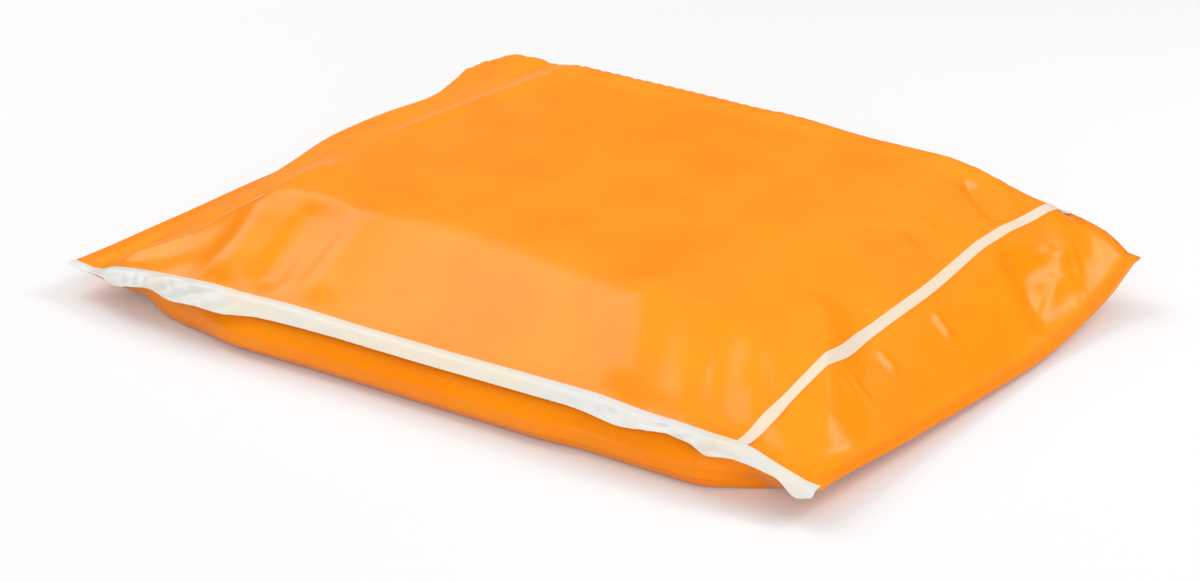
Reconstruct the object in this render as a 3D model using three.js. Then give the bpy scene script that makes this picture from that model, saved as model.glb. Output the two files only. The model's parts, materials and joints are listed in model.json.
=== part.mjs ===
// Poly mailer bag, filled and sealed, lying flat on its back panel.
//
// Millimetres, +Z up, +X along the bag towards the folded flap, -Y towards the long seam
// that carries the white tape. The origin is under the middle of the bag, on the table.
//
// The bag is one sealed pack: a top film and a bottom film that meet in a welded rim all
// round. Two white tapes lie on the film, one along the long front seam and one across the
// folded flap.

import * as THREE from 'three';

// Overall size of the filled bag
const LENGTH = 320;
const WIDTH = 220;
const PLATEAU_HEIGHT = 46;
const SEAM_HEIGHT = 19;

// Welded rim of the two films
const HEM_WIDTH = 5;
const HEM_THICKNESS = 0.6;
const FRONT_LIP = 1.2;

// Plan width of the slopes between the rim and the plateau
const FRONT_RUN = 46;
const BACK_RUN = 11;
const LEFT_RUN = 60;
const SHELF_SETBACK = 20;
const RIGHT_RUN = 66;

// Tape along the front seam: the part past the seam droops by this many degrees
const SIDE_TAPE_WIDTH = 6.6;
const SIDE_TAPE_DROOP = 42;

// Tape across the folded flap
const FLAP_TAPE_WIDTH = 4;
const FLAP_TAPE_SETBACK = 30;

const TAPE_THICKNESS = 0.4;
const TAPE_CLEARANCE = 0.3;

// Flat part of the bottom film, as insets from the rim
const FOOT_INSET = { left: 21, right: 13, front: 2.5, back: 4 };
const FOOT_CORNER = 34;
const WALL_BULGE = 11.5;

// How much the plateau rises towards the back and falls towards the flap, per millimetre
const PLATEAU_RISE_BACK = 0.033;
const PLATEAU_FALL_RIGHT = 0.016;

// Roundness of the ridges between slopes, at the rim and away from it
const RIDGE_AT_RIM = 0.4;
const RIDGE_INSIDE = 2.6;
const RIDGE_GROWTH = 50;

// Cells of the top film's net: up to the flap tape, past it, and across the bag
const CELLS_TO_TAPE = 56;
const CELLS_PAST_TAPE = 5;
const CELLS_ACROSS = 42;
const WALL_STEPS = 5;

// A smooth curve through knots of [share along a side, value]
function profile(knots) {
  const slopes = knots.map((knot, i) => {
    if (i === 0 || i === knots.length - 1) return 0;
    const before = (knot[1] - knots[i - 1][1]) / (knot[0] - knots[i - 1][0]);
    const after = (knots[i + 1][1] - knot[1]) / (knots[i + 1][0] - knot[0]);
    return before * after <= 0 ? 0 : (2 * before * after) / (before + after);
  });
  return (share) => {
    const at = Math.min(Math.max(share, knots[0][0]), knots[knots.length - 1][0]);
    let i = 0;
    while (i < knots.length - 2 && at > knots[i + 1][0]) i += 1;
    const [x0, y0] = knots[i];
    const [x1, y1] = knots[i + 1];
    const span = x1 - x0;
    const t = (at - x0) / span;
    return (
      y0 * (1 + 2 * t) * (1 - t) ** 2 +
      slopes[i] * span * t * (1 - t) ** 2 +
      y1 * t * t * (3 - 2 * t) +
      slopes[i + 1] * span * t * t * (t - 1)
    );
  };
}

const scaled = (curve, size) => (share) => curve(share) * size;

// Height of the rim above the table, as shares of the seam height. The four ends are the
// bag's ears, which stand clear of the table.
const rim = {
  front: scaled(profile([
    [0, 0.63], [0.04, 0.57], [0.06, 0.71], [0.11, 0.84], [0.17, 0.92], [0.31, 1.01], [0.5, 1],
    [0.73, 1.03], [0.8, 0.95], [0.91, 0.92], [0.945, 0.76], [0.97, 0.64], [1, 0.56],
  ]), SEAM_HEIGHT),
  back: scaled(profile([
    [0, 0.72], [0.1, 0.95], [0.5, 1], [0.72, 1.2], [0.82, 1.45], [0.9, 1.5], [0.95, 1.32], [1, 0.92],
  ]), SEAM_HEIGHT),
  left: scaled(profile([[0, 0.63], [0.25, 0.72], [0.52, 0.84], [0.8, 0.84], [1, 0.72]]), SEAM_HEIGHT),
  right: scaled(profile([
    [0, 0.56], [0.22, 0.4], [0.47, 0.25], [0.65, 0.18], [0.72, 0.23], [0.89, 0.54], [1, 0.92],
  ]), SEAM_HEIGHT),
};

// Plan width of the front and back slopes along the bag
const frontRun = scaled(profile([
  [0, 0.87], [0.22, 0.62], [0.33, 1], [0.5, 1.02], [0.71, 0.8], [0.8, 0.98], [1, 1.3],
]), FRONT_RUN);
const backRun = scaled(profile([
  [0, 0.9], [0.3, 0.9], [0.6, 1], [0.75, 1.15], [0.88, 1.35], [1, 2.3],
]), BACK_RUN);

// Height of the shoulder over the left end, and of the fold under the flap tape
const shelfHeight = scaled(profile([
  [0, 0.31], [0.23, 0.47], [0.43, 0.6], [0.55, 0.71], [0.66, 0.73], [0.83, 0.7], [0.89, 0.8],
  [0.95, 0.88], [1, 0.66],
]), PLATEAU_HEIGHT);
const flapHeight = scaled(profile([
  [0, 0.38], [0.11, 0.445], [0.22, 0.556], [0.33, 0.615], [0.45, 0.645], [0.57, 0.667], [0.73, 0.72],
  [0.85, 0.745], [0.95, 0.74], [1, 0.68],
]), PLATEAU_HEIGHT);

// How far the lower wall stands out past the flat bottom, along each side
const wallBulge = {
  front: scaled(profile([
    [0, 0], [0.08, 0], [0.13, 0.26], [0.19, 0.52], [0.28, 1.13], [0.4, 1], [0.67, 1], [0.74, 0.7],
    [0.86, 0.74], [0.9, 0.35], [0.94, 0], [1, 0],
  ]), WALL_BULGE),
  back: scaled(profile([[0, 0], [0.1, 0.2], [0.3, 0.8], [0.7, 0.8], [0.9, 0.2], [1, 0]]), WALL_BULGE),
  left: scaled(profile([[0, 0], [0.3, 0.45], [0.8, 0.5], [1, 0]]), WALL_BULGE),
  right: scaled(profile([[0, 0], [0.3, 0.25], [0.8, 0.25], [1, 0]]), WALL_BULGE),
};

// Places given by their distance from one side of the bag
const fromLeft = (distance) => distance - LENGTH / 2;
const fromRight = (distance) => LENGTH / 2 - distance;
const fromFront = (distance) => distance - WIDTH / 2;
const fromBack = (distance) => WIDTH / 2 - distance;

// One crease of the top film between two places: a ridge where rise is positive, a valley
// where it is negative, and it fades out within its reach to each side
const crease = (from, to, rise, reach) => ({ from, to, rise, reach });
const creases = {
  leftHip: crease([fromLeft(60), fromBack(16)], [fromLeft(58), fromFront(80)], 1.4, 9),
  leftGroove: crease([fromLeft(46), fromBack(30)], [fromLeft(44), fromFront(110)], -1.6, 9),
  leftPleat: crease([fromLeft(64), fromFront(38)], [fromLeft(67), fromFront(-2)], 2.4, 11),
  leftPleatValley: crease([fromLeft(84), fromFront(38)], [fromLeft(89), fromFront(-2)], -2.4, 12),
  leftFacet: crease([fromLeft(107), fromFront(48)], [fromLeft(114), fromFront(8)], 1.8, 14),
  leftShoulder: crease([fromLeft(47), fromBack(9)], [fromLeft(52), fromBack(34)], 3.2, 16),
  leftEarHip: crease([fromLeft(64), fromFront(36)], [fromLeft(6), fromFront(4)], 2.4, 12),
  frontRidge: crease([fromRight(95), fromFront(42)], [fromRight(72), fromFront(2)], 2.2, 13),
  notch: crease([fromRight(59), fromFront(36)], [fromRight(37), fromFront(-2)], -3.6, 11),
  notchFacet: crease([fromRight(49), fromFront(39)], [fromRight(29), fromFront(14)], 1.8, 9),
  rightStroke: crease([fromRight(42), fromFront(40)], [fromRight(23), fromFront(14)], -1.4, 7),
  backCrease: crease([fromRight(58), fromBack(20)], [fromRight(42), fromBack(36)], -1.6, 12),
  backCreaseEnd: crease([fromRight(21), fromBack(50)], [fromRight(2), fromBack(62)], -3, 12),
  backEar: crease([fromRight(28), fromBack(14)], [fromRight(8), fromBack(38)], 2.2, 13),
  frontEar: crease([fromRight(47), fromFront(74)], [fromRight(11), fromFront(22)], 1.6, 12),
};

const smooth = (t) => {
  const s = Math.min(Math.max(t, 0), 1);
  return s * s * (3 - 2 * s);
};

// Height that the creases add to the top film at one place
function creaseHeight(x, y) {
  return Object.values(creases).reduce((sum, { from, to, rise, reach }) => {
    const [dx, dy] = [to[0] - from[0], to[1] - from[1]];
    const length = Math.hypot(dx, dy);
    const along = ((x - from[0]) * dx + (y - from[1]) * dy) / length;
    const beside = Math.abs((x - from[0]) * dy - (y - from[1]) * dx) / length;
    const taper = smooth((along + reach) / (1.5 * reach)) * smooth((length + reach - along) / (1.5 * reach));
    return sum + rise * taper * Math.max(0, 1 - beside / reach) ** 1.4;
  }, 0);
}

// Lowest of several heights, with the ridges between them rounded
function lowest(heights, roundness) {
  const least = Math.min(...heights);
  const sum = heights.reduce((total, height) => total + Math.exp((least - height) / roundness), 0);
  return least - roundness * Math.log(sum);
}

// Shares along and across the bag of a place given from its middle
const shareAlong = (x) => x / LENGTH + 0.5;
const shareAcross = (y) => y / WIDTH + 0.5;

// Distances from a place to the inner edge of the rim on each side
const insideRim = (x, y) => ({
  left: x + LENGTH / 2 - HEM_WIDTH,
  right: LENGTH / 2 - HEM_WIDTH - x,
  front: y + WIDTH / 2 - FRONT_LIP,
  back: WIDTH / 2 - HEM_WIDTH - y,
});

// Height of the rim at a place on it
function rimHeight(x, y) {
  const inside = insideRim(x, y);
  const sides = {
    left: rim.left(shareAcross(y)),
    right: rim.right(shareAcross(y)),
    front: rim.front(shareAlong(x)),
    back: rim.back(shareAlong(x)),
  };
  const touched = Object.keys(sides).filter((side) => inside[side] <= 1e-6);
  return touched.reduce((sum, side) => sum + sides[side], 0) / touched.length;
}

// Height of the top film
function topHeight(x, y) {
  const inside = insideRim(x, y);
  const depth = Math.min(inside.left, inside.right, inside.front, inside.back);
  if (depth <= 1e-6) return rimHeight(x, y);
  const along = shareAlong(x);
  const across = shareAcross(y);
  const plateau = PLATEAU_HEIGHT + PLATEAU_RISE_BACK * y - PLATEAU_FALL_RIGHT * x;
  const shelf = shelfHeight(across);
  const flap = flapHeight(across);
  const shelfRun = SHELF_SETBACK - HEM_WIDTH;
  const flapRun = FLAP_TAPE_SETBACK - HEM_WIDTH;
  const slopes = [
    plateau,
    rim.front(along) + (inside.front * (plateau - rim.front(along))) / frontRun(along),
    rim.back(along) + (inside.back * (plateau - rim.back(along))) / backRun(along),
    rim.left(across) + (inside.left * (shelf - rim.left(across))) / shelfRun,
    shelf + ((inside.left - shelfRun) * (plateau - shelf)) / (LEFT_RUN - SHELF_SETBACK),
    rim.right(across) + (inside.right * (flap - rim.right(across))) / flapRun,
    flap + ((inside.right - flapRun) * (plateau - flap)) / (RIGHT_RUN - FLAP_TAPE_SETBACK),
  ];
  const roundness = RIDGE_AT_RIM + (RIDGE_INSIDE - RIDGE_AT_RIM) * smooth(depth / RIDGE_GROWTH);
  const crease = creaseHeight(x, y) * smooth(depth / 10);
  const least = Math.min(rim.front(along), rim.left(across), rim.right(across), rim.back(along));
  return Math.max(lowest(slopes, roundness) + crease, least);
}

// Even steps from one value to another, both included
function steps(low, high, count) {
  return Array.from({ length: count + 1 }, (_, i) => low + ((high - low) * i) / count);
}

// The top film's net: the rim's edge and inner edge on each side, and the flap tape's
// middle and edges, are lines of the net
const tapeMiddle = LENGTH / 2 - FLAP_TAPE_SETBACK;
const tapeLow = tapeMiddle - FLAP_TAPE_WIDTH / 2;
const tapeHigh = tapeMiddle + FLAP_TAPE_WIDTH / 2;
const xs = [
  -LENGTH / 2,
  ...steps(HEM_WIDTH - LENGTH / 2, tapeLow, CELLS_TO_TAPE),
  tapeMiddle,
  ...steps(tapeHigh, LENGTH / 2 - HEM_WIDTH, CELLS_PAST_TAPE),
  LENGTH / 2,
];
const ys = [
  -WIDTH / 2,
  ...steps(FRONT_LIP - WIDTH / 2, WIDTH / 2 - HEM_WIDTH, CELLS_ACROSS),
  WIDTH / 2,
];
const net = xs.map((x) => ys.map((y) => new THREE.Vector3(x, y, topHeight(x, y) + HEM_THICKNESS / 2)));

// Splits a cell of the net along the diagonal that lies closer to the film, so that a
// crease that crosses the cell stays sharp
function cellSplit(i, j, corners) {
  const [a, b, c, d] = corners;
  const middle = topHeight((xs[i] + xs[i + 1]) / 2, (ys[j] + ys[j + 1]) / 2) + HEM_THICKNESS / 2;
  const rising = Math.abs((net[i][j].z + net[i + 1][j + 1].z) / 2 - middle);
  const falling = Math.abs((net[i + 1][j].z + net[i][j + 1].z) / 2 - middle);
  return rising <= falling ? [a, b, c, a, c, d] : [a, b, d, b, c, d];
}

// The film's closed solid
function filmBag() {
  const points = [];
  const faces = [];
  const add = ({ x, y, z }) => points.push(x, y, z) / 3 - 1;

  const top = net.map((line) => line.map(add));
  for (let i = 0; i < xs.length - 1; i += 1) {
    for (let j = 0; j < ys.length - 1; j += 1) {
      faces.push(...cellSplit(i, j, [top[i][j], top[i + 1][j], top[i + 1][j + 1], top[i][j + 1]]));
    }
  }

  // Stations round the rim, counter-clockwise from the front left ear
  const last = { x: xs.length - 1, y: ys.length - 1 };
  const stations = [
    ...xs.slice(0, -1).map((_, i) => ({ i, j: 0, side: 'front' })),
    ...ys.slice(0, -1).map((_, j) => ({ i: last.x, j, side: 'right' })),
    ...xs.slice(0, -1).map((_, i) => ({ i: last.x - i, j: last.y, side: 'back' })),
    ...ys.slice(0, -1).map((_, j) => ({ i: 0, j: last.y - j, side: 'left' })),
  ];

  const foot = {
    low: [-LENGTH / 2 + FOOT_INSET.left + FOOT_CORNER, -WIDTH / 2 + FOOT_INSET.front + FOOT_CORNER],
    high: [LENGTH / 2 - FOOT_INSET.right - FOOT_CORNER, WIDTH / 2 - FOOT_INSET.back - FOOT_CORNER],
  };
  const clamp = (value, low, high) => Math.min(Math.max(value, low), high);
  const rings = stations.map(({ i, j, side }) => {
    const edge = new THREE.Vector3(xs[i], ys[j], rimHeight(xs[i], ys[j]) - HEM_THICKNESS / 2);
    const corner = new THREE.Vector3(
      clamp(edge.x, foot.low[0], foot.high[0]), clamp(edge.y, foot.low[1], foot.high[1]), 0,
    );
    const outward = new THREE.Vector3(edge.x - corner.x, edge.y - corner.y, 0).normalize();
    const rest = corner.clone().addScaledVector(outward, FOOT_CORNER);
    const share = side === 'front' || side === 'back' ? shareAlong(edge.x) : shareAcross(edge.y);
    const bulge = wallBulge[side](share);
    const hem = side === 'front' ? FRONT_LIP : HEM_WIDTH;
    const inner = edge.clone().addScaledVector(outward, -hem * 0.6);
    const wall = new THREE.CubicBezierCurve3(
      inner,
      new THREE.Vector3(inner.x + outward.x * bulge, inner.y + outward.y * bulge, edge.z * 0.6),
      new THREE.Vector3(rest.x + outward.x * bulge * 1.2, rest.y + outward.y * bulge * 1.2, 0),
      rest,
    );
    const curve = wall.getPoints(WALL_STEPS);
    return [edge, ...curve].map(add);
  });

  stations.forEach(({ i, j }, k) => {
    const next = (k + 1) % stations.length;
    const pairs = [top[i][j], ...rings[k]];
    const after = [top[stations[next].i][stations[next].j], ...rings[next]];
    for (let step = 0; step < pairs.length - 1; step += 1) {
      faces.push(pairs[step], pairs[step + 1], after[step + 1], pairs[step], after[step + 1], after[step]);
    }
  });

  // The flat bottom that the bag lies on
  const outline = rings.map((ring) => ring[ring.length - 1]);
  const flat = outline.map((index) => new THREE.Vector2(points[index * 3], points[index * 3 + 1]));
  THREE.ShapeUtils.triangulateShape(flat, []).forEach(([a, b, c]) => {
    faces.push(outline[a], outline[c], outline[b]);
  });
  return closedGeometry(points, faces);
}

function closedGeometry(points, faces) {
  const geometry = new THREE.BufferGeometry();
  geometry.setAttribute('position', new THREE.Float32BufferAttribute(points, 3));
  geometry.setIndex(faces);
  geometry.computeVertexNormals();
  return geometry;
}

// A thin closed band from rows of points on its underside. Each point has its own upward
// direction, and split gives the triangles of one cell from its four corners.
function bandGeometry(rows, split) {
  const points = [];
  const faces = [];
  const add = ({ x, y, z }) => points.push(x, y, z) / 3 - 1;
  const under = rows.map((row) => row.map(({ place }) => add(place)));
  const raised = ({ place, up }) => add(place.clone().addScaledVector(up, TAPE_THICKNESS));
  const over = rows.map((row) => row.map(raised));
  const [lastRow, lastPoint] = [rows.length - 1, rows[0].length - 1];
  const corners = (side, r, k) => [side[r][k], side[r + 1][k], side[r + 1][k + 1], side[r][k + 1]];
  const turned = (triangles) => triangles.reverse();
  for (let r = 0; r < lastRow; r += 1) {
    for (let k = 0; k < lastPoint; k += 1) {
      faces.push(...split(r, k, corners(over, r, k)));
      faces.push(...turned(split(r, k, corners(under, r, k))));
    }
  }
  const wall = (from, to) => faces.push(
    under[from[0]][from[1]], under[to[0]][to[1]], over[to[0]][to[1]],
    under[from[0]][from[1]], over[to[0]][to[1]], over[from[0]][from[1]],
  );
  for (let r = 0; r < lastRow; r += 1) {
    wall([r, 0], [r + 1, 0]);
    wall([r + 1, lastPoint], [r, lastPoint]);
  }
  for (let k = 0; k < lastPoint; k += 1) {
    wall([lastRow, k], [lastRow, k + 1]);
    wall([0, k + 1], [0, k]);
  }
  return closedGeometry(points, faces);
}

// Width of the front tape past the seam, as shares of its plain width: it is crumpled near
// both ears and pinched beside the flap tape
const sideTapeWidth = scaled(profile([
  [0, 0.3], [0.045, 0.35], [0.0875, 1.2], [0.147, 1], [0.178, 1.44], [0.26, 1.44], [0.297, 1.1],
  [0.416, 0.94], [0.72, 0.94], [0.78, 1.1], [0.834, 0.68], [0.8625, 0.75], [0.886, 1.12],
  [0.906, 0.9], [0.95, 0.67], [0.97, 0.55], [0.984, 0.6], [1, 0.35],
]), SIDE_TAPE_WIDTH);

// The tape along the front seam: it grips the lip of the rim and hangs out past it
function sideSealTape() {
  const droop = THREE.MathUtils.degToRad(SIDE_TAPE_DROOP);
  const seamEdge = -WIDTH / 2;
  const upward = new THREE.Vector3(0, 0, 1);
  const outward = new THREE.Vector3(0, -Math.sin(droop), Math.cos(droop));
  const over = new THREE.Vector3(0, -Math.sin(droop / 2), Math.cos(droop / 2));
  const stations = xs.map((x, i) => {
    if (i === 0) return x + TAPE_CLEARANCE;
    return i === xs.length - 1 ? x - TAPE_CLEARANCE : x;
  });
  const rows = stations.map((x, i) => {
    const seat = rimHeight(xs[i], seamEdge) + HEM_THICKNESS / 2 + TAPE_CLEARANCE;
    const free = (share) => {
      const reach = sideTapeWidth(shareAlong(x)) * share;
      const place = new THREE.Vector3(
        x, seamEdge - TAPE_CLEARANCE - reach * Math.cos(droop), seat - reach * Math.sin(droop),
      );
      return { place, up: outward };
    };
    return [
      free(1),
      free(0.5),
      { place: new THREE.Vector3(x, seamEdge - TAPE_CLEARANCE, seat), up: over },
      { place: new THREE.Vector3(x, seamEdge + FRONT_LIP, seat), up: upward },
    ];
  });
  return bandGeometry(rows, (r, k, [a, b, c, d]) => [a, b, c, a, c, d]);
}

// The tape across the folded flap, laid on the top film from the front tape to the back rim
function flapSealTape() {
  const first = 1 + CELLS_TO_TAPE;
  const up = new THREE.Vector3(0, 0, 1);
  const rows = [first, first + 1, first + 2].map((i) => ys.slice(1).map((y, j) => {
    const seat = net[i][j + 1].z + TAPE_CLEARANCE;
    const place = new THREE.Vector3(xs[i], y, seat);
    if (j === 0) place.y += 2 * TAPE_CLEARANCE;
    return { place, up };
  }));
  return bandGeometry(rows, (r, k, corners) => cellSplit(first + r, k + 1, corners));
}

const film = new THREE.MeshStandardMaterial({ color: 0xff9c1e, roughness: 0.35, metalness: 0 });
const tape = new THREE.MeshStandardMaterial({ color: 0xf3ecdf, roughness: 0.5, metalness: 0 });

const bag = new THREE.Mesh(filmBag(), film);
bag.name = 'film_bag';
const sideTape = new THREE.Mesh(sideSealTape(), tape);
sideTape.name = 'side_seal_tape';
const flapTape = new THREE.Mesh(flapSealTape(), tape);
flapTape.name = 'flap_seal_tape';

// The origin is under the middle of the whole bag, on the table
const model = new THREE.Group();
model.add(bag, sideTape, flapTape);
const box = new THREE.Box3().setFromObject(model, true);
model.position.set(-(box.min.x + box.max.x) / 2, -(box.min.y + box.max.y) / 2, -box.min.z);

export default model;
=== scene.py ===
"""A filled poly mailer bag of glossy orange film, lying flat, with two white tapes.

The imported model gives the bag's true size and main shape. This script dresses it: the film is
a finer skin over the same form, with its folds, puckers and crumples pressed in, and the two
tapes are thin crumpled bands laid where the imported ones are.
"""

import json
import logging
import math
from dataclasses import dataclass, field
from enum import Enum

import bpy
import numpy as np
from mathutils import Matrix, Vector, noise
from mathutils.bvhtree import BVHTree

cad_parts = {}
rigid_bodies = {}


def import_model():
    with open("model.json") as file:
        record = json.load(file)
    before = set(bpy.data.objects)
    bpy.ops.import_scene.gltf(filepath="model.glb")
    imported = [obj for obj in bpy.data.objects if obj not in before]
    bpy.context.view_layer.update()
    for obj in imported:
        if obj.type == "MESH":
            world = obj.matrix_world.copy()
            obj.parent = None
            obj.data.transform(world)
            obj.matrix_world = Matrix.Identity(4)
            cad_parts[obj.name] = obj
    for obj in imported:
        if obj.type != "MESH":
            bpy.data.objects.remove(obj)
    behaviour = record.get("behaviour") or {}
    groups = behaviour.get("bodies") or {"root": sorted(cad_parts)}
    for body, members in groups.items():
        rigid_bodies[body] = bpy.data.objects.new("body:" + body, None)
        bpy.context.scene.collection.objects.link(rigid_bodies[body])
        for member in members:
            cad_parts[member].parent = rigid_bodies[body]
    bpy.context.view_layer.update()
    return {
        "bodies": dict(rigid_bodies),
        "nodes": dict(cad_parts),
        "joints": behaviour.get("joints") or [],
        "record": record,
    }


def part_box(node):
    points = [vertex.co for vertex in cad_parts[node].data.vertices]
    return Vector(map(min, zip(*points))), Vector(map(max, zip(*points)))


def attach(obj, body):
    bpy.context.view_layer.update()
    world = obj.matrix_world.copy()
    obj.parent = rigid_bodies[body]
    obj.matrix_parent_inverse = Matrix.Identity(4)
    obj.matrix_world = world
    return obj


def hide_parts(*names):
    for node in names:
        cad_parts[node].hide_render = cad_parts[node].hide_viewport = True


LOG = logging.getLogger("poly_mailer")
MM = 0.001
BAG_NODE = "film_bag"
SIDE_TAPE_NODE = "side_seal_tape"
FLAP_TAPE_NODE = "flap_seal_tape"

# The bag between its ears, in millimetres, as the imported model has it
BAG_LENGTH = 320.0
BAG_WIDTH = 220.0
HEM_WIDTH = 5.0
FLAP_TAPE_PLACE = 130.0

# The tapes' whites, warm and cool
SEAM_WHITES = ((0.75, 0.67, 0.54, 1.0), (0.69, 0.68, 0.64, 1.0))
FLAP_WHITES = ((0.80, 0.65, 0.48, 1.0), (0.76, 0.65, 0.55, 1.0))


class Panel(Enum):
    """The side of the bag that a fold is pressed into, with the direction it is seen along."""

    TOP = (0.0, 0.0, -1.0)
    FRONT = (0.0, 1.0, 0.0)
    BACK = (0.0, -1.0, 0.0)
    LEFT = (1.0, 0.0, 0.0)
    RIGHT = (-1.0, 0.0, 0.0)


@dataclass(frozen=True)
class Fold:
    """One fold of the film between two places on a panel.

    Places are in millimetres from the middle of the bag on the table: along and across on the
    top panel, along and up on the front and back, across and up on the left and right. A
    negative lift is a valley. The fold reaches so far to its left and right, as someone who
    walks along it on the outside sees them. A sharpness of 1 gives it flat flanks that meet in
    a crisp line, and bend bows it to the left. It rises and fades over a share of its length
    at its start and at its end.
    """

    start: tuple[float, float]
    end: tuple[float, float]
    lift: float
    left: float
    right: float
    sharpness: float = 1.15
    bend: float = 0.0
    panel: Panel = Panel.TOP
    fade: tuple[float, float] = (0.25, 0.25)


def only(obj: bpy.types.Object) -> bpy.types.Object:
    """Makes one object the only selected one, and the active one.

    Args:
        obj: The object to work on.

    Returns:
        The same object.
    """
    bpy.ops.object.select_all(action="DESELECT")
    obj.select_set(True)
    bpy.context.view_layer.objects.active = obj
    return obj


def coordinates(mesh: bpy.types.Mesh) -> np.ndarray:
    """Reads a mesh's vertex places, in metres."""
    places = np.zeros(len(mesh.vertices) * 3)
    mesh.vertices.foreach_get("co", places)
    return places.reshape(-1, 3)


def normals(mesh: bpy.types.Mesh) -> np.ndarray:
    """Reads a mesh's vertex normals."""
    directions = np.zeros(len(mesh.vertices) * 3)
    mesh.vertex_normals.foreach_get("vector", directions)
    return directions.reshape(-1, 3)


def place(mesh: bpy.types.Mesh, places: np.ndarray) -> None:
    """Writes a mesh's vertex places, in metres."""
    mesh.vertices.foreach_set("co", places.ravel())
    mesh.update()


def eased(share: np.ndarray) -> np.ndarray:
    """Eases a share from 0 to 1, flat at both ends."""
    held = np.clip(share, 0.0, 1.0)
    return held * held * (3.0 - 2.0 * held)


def hump(value: np.ndarray, middle: float, reach: float) -> np.ndarray:
    """Gives 1 at the middle value, falling smoothly to 0 within the reach."""
    return eased(1.0 - np.abs(value - middle) / reach)


def smoothed(values: np.ndarray, window: int) -> np.ndarray:
    """Smooths a row of values.

    Args:
        values: The values, evenly spaced.
        window: How many neighbours each value is averaged over, an odd number.

    Returns:
        As many values, with the ends held.
    """
    kernel = np.hanning(window)
    held = np.pad(values, window // 2, mode="edge")
    return np.convolve(held, kernel / kernel.sum(), mode="valid")


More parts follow.
